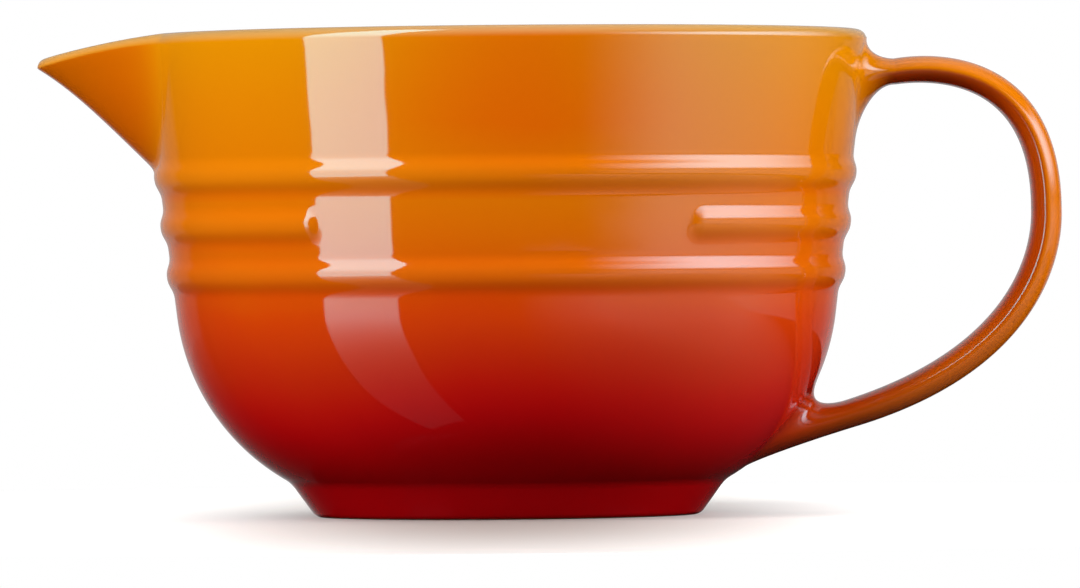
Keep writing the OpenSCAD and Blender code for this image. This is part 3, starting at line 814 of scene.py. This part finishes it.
def handle_root(name, end, flat_way, strap_t, above, below):
    """A closed skin from the strap's end section to its footprint on the bowl."""
    way = np.array([flat_way[0], 0, flat_way[1]])
    square = np.array([-flat_way[1], 0, flat_way[0]])
    cosine, sine = np.cos(root_turn), np.sin(root_turn)
    across = np.sign(cosine) * np.abs(cosine) ** (2 / CROWN_POWER) * STRAP_W / 2
    through = np.sign(sine) * np.abs(sine) ** (2 / RIDGE_POWER) * strap_t / 2
    neck = np.array([end[0], 0, end[1]]) + across[:, None] * [0, 1, 0] + through[:, None] * square
    spread = across * (ROOT_SPREAD / (STRAP_W / 2))
    lift = through * np.where(through > 0, above, below) / (strap_t / 2)
    flare = spread[:, None] * [0, 1, 0] + lift[:, None] * square
    rings = []
    for a in np.linspace(0, math.pi / 2, ROOT_STEPS):
        wide = neck + (1 - math.cos(a)) * flare
        rings.append(wide - way * onto_bowl(wide, way)[:, None] * math.sin(a))
    # The last rings settle on to the bowl, just under its skin, and sink into it
    wide = neck + OUTER_SHARE * flare
    rings.append(wide - way * (onto_bowl(wide, way)[:, None] + SETTLE))
    sunk = rings[-1] - way * SINK
    rings.append(sunk)
    poles = [neck.mean(axis=0), sunk.mean(axis=0) - way * POLE_SINK]
    points = np.vstack(rings + [poles])
    last_ring = len(rings) - 1
    faces = []
    for k in range(ROOT_SIDES):
        n = (k + 1) % ROOT_SIDES
        faces.append((len(points) - 2, n, k))
        for low in range(0, last_ring * ROOT_SIDES, ROOT_SIDES):
            high = low + ROOT_SIDES
            faces.append((low + k, low + n, high + n, high + k))
        faces.append((len(points) - 1, last_ring * ROOT_SIDES + k, last_ring * ROOT_SIDES + n))
    root = new_object(name, points, faces)
    share = np.repeat(np.append(np.linspace(0, 1, ROOT_STEPS + 1), 1), ROOT_SIDES)
    return root, share


# The strap's colours run out over the upper root, and the painted shade of its palm's side over the root's
# underside
NECK_POWER = 0.7
UNDERSIDE_STEEPNESS = 5
upper_root, share = handle_root("upper_handle_root", upper_end, (1, 0), STRAP_T,
                                UPPER_ROOT_RISE, UPPER_ROOT_DROP)
underside_shade = np.clip(-np.sin(root_turn) * UNDERSIDE_STEEPNESS, 0, 1)
neck = (1 - share) ** NECK_POWER
store(upper_root.data, "palm_shade", np.append(np.tile(underside_shade, ROOT_STEPS + 2) * neck, [0, 0]))
store(upper_root.data, "neck", np.append(neck, [1, 0]))
store(upper_root.data, "along", np.zeros(len(upper_root.data.vertices)))
finish_piece(upper_root, bowl_glaze, ["upper_handle_joint"])
lower_root, share = handle_root("lower_handle_root", lower_end, tail_way, STRAP_TAIL_T,
                                LOWER_ROOT_RISE, LOWER_ROOT_DROP)
store(lower_root.data, "along", np.append(share, [0, 1]))
finish_piece(lower_root, root_glaze, ["lower_handle_joint"])

# A round white table top, smaller than the studio: it takes the bowl's cast shadow, carries a painted shade
# round the bowl, and fades into the white
TABLE_R = 386 * MM
TABLE_SIDES = 128
table_turns = [2 * math.pi * k / TABLE_SIDES for k in range(TABLE_SIDES)]
table = new_object(
    "table_top", [(0, 0, 0)] + [(TABLE_R * math.cos(a), TABLE_R * math.sin(a), 0) for a in table_turns],
    [(0, k + 1, (k + 1) % TABLE_SIDES + 1) for k in range(TABLE_SIDES)])

# Painted shade round the bowl: the paper glows white outside an oval and the glow is weak inside it, on top
# of the real cast shadow on the matt paper. The oval's half sizes, its shift towards the camera, and where
# the glow fades in, as a share of the half sizes. Near the table's edge the paper glows brighter by itself.
SHADE_X, SHADE_Y = 86 * MM, 450 * MM
SHADE_SHIFT = (0, 0.04, 0)
SHADE_FROM, SHADE_TO = 0.12, 1.6
EDGE_FROM_R, EDGE_GLOW = 220 * MM, 0.45
PAPER_GREY = "#C1BAB5"
PAPER_GLOSS_SHARE, PAPER_ROUGHNESS = 0.15, 0.3
# The photograph's surroundings were whitened afterwards, so its glaze mirrors no white table but a dark
# polished sheet at the left and a pale one at the front right
SHEET_DARK, SHEET_LIT = "#080808", "#606060"
SHEET_ROUGHNESS, SHEET_IOR, SHEET_POWER = 0.03, 1.5, 1.6
POLISHED_FROM_X, POLISHED_TO_X, POLISH = 80 * MM, -40 * MM, 2.4
PALE_FROM_R, PALE_TO_R, PALE_GLOW = 50 * MM, 330 * MM, 0.62
PALE_FROM_X, PALE_TO_X = 20 * MM, 160 * MM
PALE_FROM_Y, PALE_TO_Y = 60 * MM, -60 * MM

paper = bpy.data.materials.new("white matt table top")
tree = empty_tree(paper)
rays = add_node(tree, "ShaderNodeLightPath").outputs
place = add_node(tree, TEXTURE_PLACE).outputs["Object"]
parts = add_node(tree, SEPARATE, [place]).outputs
radius = add_node(tree, VECTOR_MATH, [place], operation="LENGTH")
shade = add_node(tree, VECTOR_MATH, [place, (1 / SHADE_X, 1 / SHADE_Y, 0), SHADE_SHIFT],
                 operation="MULTIPLY_ADD")
shade = add_node(tree, VECTOR_MATH, [shade], operation="LENGTH")
fade = add_node(tree, MAP_RANGE, [shade, SHADE_FROM, SHADE_TO], interpolation_type="SMOOTHSTEP")
edge = add_node(tree, MAP_RANGE, [radius, EDGE_FROM_R, TABLE_R, 0.0, EDGE_GLOW],
                interpolation_type="SMOOTHSTEP")
fade = add_node(tree, MATH, [fade, edge], operation="MAXIMUM")
matt = add_node(tree, "ShaderNodeBsdfDiffuse", {"Color": linear(PAPER_GREY)})
blurred = add_node(tree, "ShaderNodeBsdfGlossy", {"Color": linear("#FFFFFF"), "Roughness": PAPER_ROUGHNESS})
matt = add_node(tree, "ShaderNodeMixShader", [PAPER_GLOSS_SHARE, matt, blurred])
painted_glow = add_node(tree, "ShaderNodeEmission", {"Strength": fade})
seen_paper = add_node(tree, "ShaderNodeAddShader", [matt, painted_glow])

is_glossy = rays["Is Glossy Ray"]
sheet_grey = add_node(tree, MIX, {"Factor": is_glossy, "A": linear(SHEET_LIT), "B": linear(SHEET_DARK)},
                      **COVER)
sheet = add_node(tree, "ShaderNodeBsdfDiffuse", {"Color": sheet_grey})
sheen = add_node(tree, "ShaderNodeBsdfGlossy", {"Color": linear("#FFFFFF"), "Roughness": SHEET_ROUGHNESS})
gloss = add_node(tree, "ShaderNodeFresnel", {"IOR": SHEET_IOR})
gloss = add_node(tree, MATH, [gloss, SHEET_POWER], operation="POWER")
polished = add_node(tree, MAP_RANGE, [parts["X"], POLISHED_FROM_X, POLISHED_TO_X, 0.0, POLISH])
gloss = add_node(tree, MATH, [gloss, polished], operation="MULTIPLY")
sheet = add_node(tree, "ShaderNodeMixShader", [gloss, sheet, sheen])
# Painted light: for glossy rays the sheet glows at the front right, in place of table lit by the raised lamp
painted_lamp_glow = add_node(tree, MAP_RANGE, [radius, PALE_FROM_R, PALE_TO_R, 0.0, PALE_GLOW])
pale_right = add_node(tree, MAP_RANGE, [parts["X"], PALE_FROM_X, PALE_TO_X])
pale_front = add_node(tree, MAP_RANGE, [parts["Y"], PALE_FROM_Y, PALE_TO_Y])
for share in (pale_right, pale_front, is_glossy):
    painted_lamp_glow = add_node(tree, MATH, [painted_lamp_glow, share], operation="MULTIPLY")
painted_lamp_glow = add_node(tree, "ShaderNodeEmission", {"Strength": painted_lamp_glow})
sheet = add_node(tree, "ShaderNodeAddShader", [sheet, painted_lamp_glow])
seen = add_node(tree, MATH, [rays["Is Camera Ray"], rays["Is Transmission Ray"]], operation="ADD")
top = add_node(tree, "ShaderNodeMixShader", [seen, sheet, seen_paper])
add_node(tree, "ShaderNodeOutputMaterial", [top])
table.data.materials.append(paper)


# Lamps. Angles are in degrees: azimuth from the camera's side (-Y) towards the handle (+X), elevation above
# the table. Each edge of a lamp is (where its light starts, where it is full).
def azimuth_and_height(tree, place):
    parts = add_node(tree, SEPARATE, [place]).outputs
    forward = add_node(tree, MATH, [parts["Y"], -1.0], operation="MULTIPLY")
    azimuth = add_node(tree, MATH, [parts["X"], forward], operation="ARCTAN2")
    return add_node(tree, MATH, [azimuth], operation="DEGREES"), parts["Z"]


def soft_panel(tree, azimuth, height, left, right, low, high, radiance):
    """The light of one panel, between its four edges."""
    light = radiance
    for along, (start, full) in ((azimuth, left), (azimuth, right), (height, low), (height, high)):
        edge = add_node(tree, MAP_RANGE, [along, start, full], interpolation_type="SMOOTHSTEP")
        light = add_node(tree, MATH, [edge, light], operation="MULTIPLY")
    return light


# A raised soft lamp at the right, bent round the bowl, bright in its middle and fading to its edges
LAMP_R = 900 * MM
LAMP_LOW, LAMP_HIGH = 100 * MM, 700 * MM
LAMP_LEFT, LAMP_RIGHT = 20, 140
LAMP_COLUMNS = 40
RAISED_LAMP = (24, 70), (133, 71), (100 * MM, 260 * MM), (640 * MM, 460 * MM), 9.1
# In the glaze the lamps are cool, so that the orange under their reflections doesn't burn out
RAISED_LAMP_COOL = "#C4F0FF"
TALL_LAMP_COOL = "#8EF6FF"
lamp_turns = np.radians(np.linspace(LAMP_LEFT, LAMP_RIGHT, LAMP_COLUMNS + 1))
lamp = new_object("raised_soft_lamp", [
    (LAMP_R * math.sin(a), -LAMP_R * math.cos(a), z) for a in lamp_turns for z in (LAMP_LOW, LAMP_HIGH)],
    [(2 * k, 2 * k + 1, 2 * k + 3, 2 * k + 2) for k in range(LAMP_COLUMNS)])
lamp.visible_camera = False
glow = bpy.data.materials.new("soft white light")
tree = empty_tree(glow)
place = add_node(tree, TEXTURE_PLACE).outputs["Object"]
is_glossy = add_node(tree, "ShaderNodeLightPath").outputs["Is Glossy Ray"]
light = soft_panel(tree, *azimuth_and_height(tree, place), *RAISED_LAMP)
colour = add_node(tree, MIX, {"Factor": is_glossy, "A": linear("#FFFFFF"), "B": linear(RAISED_LAMP_COOL)},
                  **COVER)
light = add_node(tree, "ShaderNodeEmission", {"Color": colour, "Strength": light})
add_node(tree, "ShaderNodeOutputMaterial", [light])
lamp.data.materials.append(glow)

# The studio: a white backdrop behind the bowl, a tall lamp with sharp edges at the front left, a dim wide
# panel at the right, and a dark room behind the camera
TALL_LAMP_RADIANCE = 7.6
TALL_LAMP = (-66.8, -66.4), (-38.8, -39.2), (-45, -40), (71, 69), TALL_LAMP_RADIANCE
WIDE_PANEL = (22, 62), (145, 50), (-13.9, -12.3), (14, 4), 1.4
BACKDROP = (135, 141), (200, 199), (-80, -70), (80, 70), 0.1
BACKDROP_MIDDLE = (140, 172), (200, 199), (-80, -70), (80, 70), 0.3
# The tall lamp leans to the right and grows wider upwards
TALL_LAMP_AZIMUTH, TALL_LAMP_SLANT, TALL_LAMP_SPREAD = -52.8, 0.04, 0.003
LEVEL = 0.78
AMBIENT = 0.2
AMBIENT_FROM, AMBIENT_FULL = -10, 10
# Only the glaze mirrors these: a pale ceiling, a brighter upper half of the tall lamp, and the dark room
CEILING_FROM, CEILING_FULL, CEILING = 45, 60, 0.4
UPPER_FROM, UPPER_FULL, UPPER = 0, 20, 0.4
DARK_ROOM = 0.01

studio = bpy.data.worlds.new("studio")
bpy.context.scene.world = studio
tree = empty_tree(studio)
rays = add_node(tree, "ShaderNodeLightPath").outputs
way = add_node(tree, TEXTURE_PLACE).outputs["Generated"]
azimuth, elevation = azimuth_and_height(tree, way)
elevation = add_node(tree, MATH, [elevation], operation="ARCSINE")
elevation = add_node(tree, MATH, [elevation], operation="DEGREES")
around = add_node(tree, MATH, [azimuth], operation="ABSOLUTE")
upwards = add_node(tree, MATH, [elevation, 0.0], operation="MAXIMUM")
lean = add_node(tree, MATH, [upwards, TALL_LAMP_SLANT], operation="MULTIPLY")
widening = add_node(tree, MATH, [upwards, TALL_LAMP_SPREAD, 1.0], operation="MULTIPLY_ADD")
slanted = add_node(tree, MATH, [azimuth, TALL_LAMP_AZIMUTH], operation="SUBTRACT")
slanted = add_node(tree, MATH, [slanted, lean], operation="SUBTRACT")
slanted = add_node(tree, MATH, [slanted, widening], operation="DIVIDE")
slanted = add_node(tree, MATH, [slanted, TALL_LAMP_AZIMUTH], operation="ADD")
tall_lamp = soft_panel(tree, slanted, elevation, *TALL_LAMP)
light = tall_lamp
for across, panel in ((azimuth, WIDE_PANEL), (around, BACKDROP), (around, BACKDROP_MIDDLE)):
    light = add_node(tree, MATH, [light, soft_panel(tree, across, elevation, *panel)], operation="ADD")

ambient = add_node(tree, MAP_RANGE, [elevation, AMBIENT_FROM, AMBIENT_FULL, 0.0, AMBIENT],
                   interpolation_type="SMOOTHSTEP")
plain = add_node(tree, MATH, [light, LEVEL, ambient], operation="MULTIPLY_ADD")
ceiling = add_node(tree, MAP_RANGE, [elevation, CEILING_FROM, CEILING_FULL, 0.0, CEILING],
                   interpolation_type="SMOOTHSTEP")
upper = add_node(tree, MAP_RANGE, [elevation, UPPER_FROM, UPPER_FULL, 0.0, UPPER],
                 interpolation_type="SMOOTHSTEP")
mirrored = add_node(tree, MATH, [tall_lamp, upper, light], operation="MULTIPLY_ADD")
mirrored = add_node(tree, MATH, [mirrored, ceiling], operation="ADD")
mirrored = add_node(tree, MATH, [mirrored, DARK_ROOM], operation="ADD")
is_glossy = rays["Is Glossy Ray"]
strength = add_node(tree, MIX, {"Factor": is_glossy, "A": plain, "B": mirrored}, data_type="FLOAT")
seen = add_node(tree, MATH, [rays["Is Camera Ray"], rays["Is Transmission Ray"]], operation="ADD")
strength = add_node(tree, MIX, {"Factor": seen, "A": strength, "B": 1.0}, data_type="FLOAT")
cool = add_node(tree, MATH, [tall_lamp, TALL_LAMP_RADIANCE], operation="DIVIDE")
cool = add_node(tree, MATH, [cool, is_glossy], operation="MULTIPLY")
colour = add_node(tree, MIX, {"Factor": cool, "A": linear("#FFFFFF"), "B": linear(TALL_LAMP_COOL)}, **COVER)
back = add_node(tree, "ShaderNodeBackground", {"Color": colour, "Strength": strength})
add_node(tree, "ShaderNodeOutputWorld", [back])

# The camera, at the photograph's viewing angle: a long lens, a little above the middle of the bowl
IMAGE_W, IMAGE_H = 1080, 588
CAMERA_D = 2900 * MM
CAMERA_H = 67 * MM
PIXEL = 0.2693 * MM
AXIS_PIXEL = 506.4
TABLE_PIXEL = 515
ROLL = math.radians(0.5)
SENSOR_W = 36
CLIP_START = 50 * MM
aim_x = (IMAGE_W / 2 - AXIS_PIXEL) * PIXEL
aim_z = (TABLE_PIXEL - IMAGE_H / 2) * PIXEL
pitch = math.atan2(CAMERA_H - aim_z, CAMERA_D)
lens = bpy.data.cameras.new("camera")
lens.sensor_width = SENSOR_W
lens.lens = CAMERA_D / PIXEL / IMAGE_W * SENSOR_W
lens.clip_start = CLIP_START
camera = bpy.data.objects.new("camera", lens)
bpy.context.scene.collection.objects.link(camera)
camera.matrix_world = (Matrix.Translation((aim_x, -CAMERA_D, CAMERA_H))
                       @ Matrix.Rotation(math.pi / 2 - pitch, 4, "X") @ Matrix.Rotation(-ROLL, 4, "Z"))
bpy.context.scene.camera = camera

bpy.context.scene.view_settings.view_transform = "Standard"
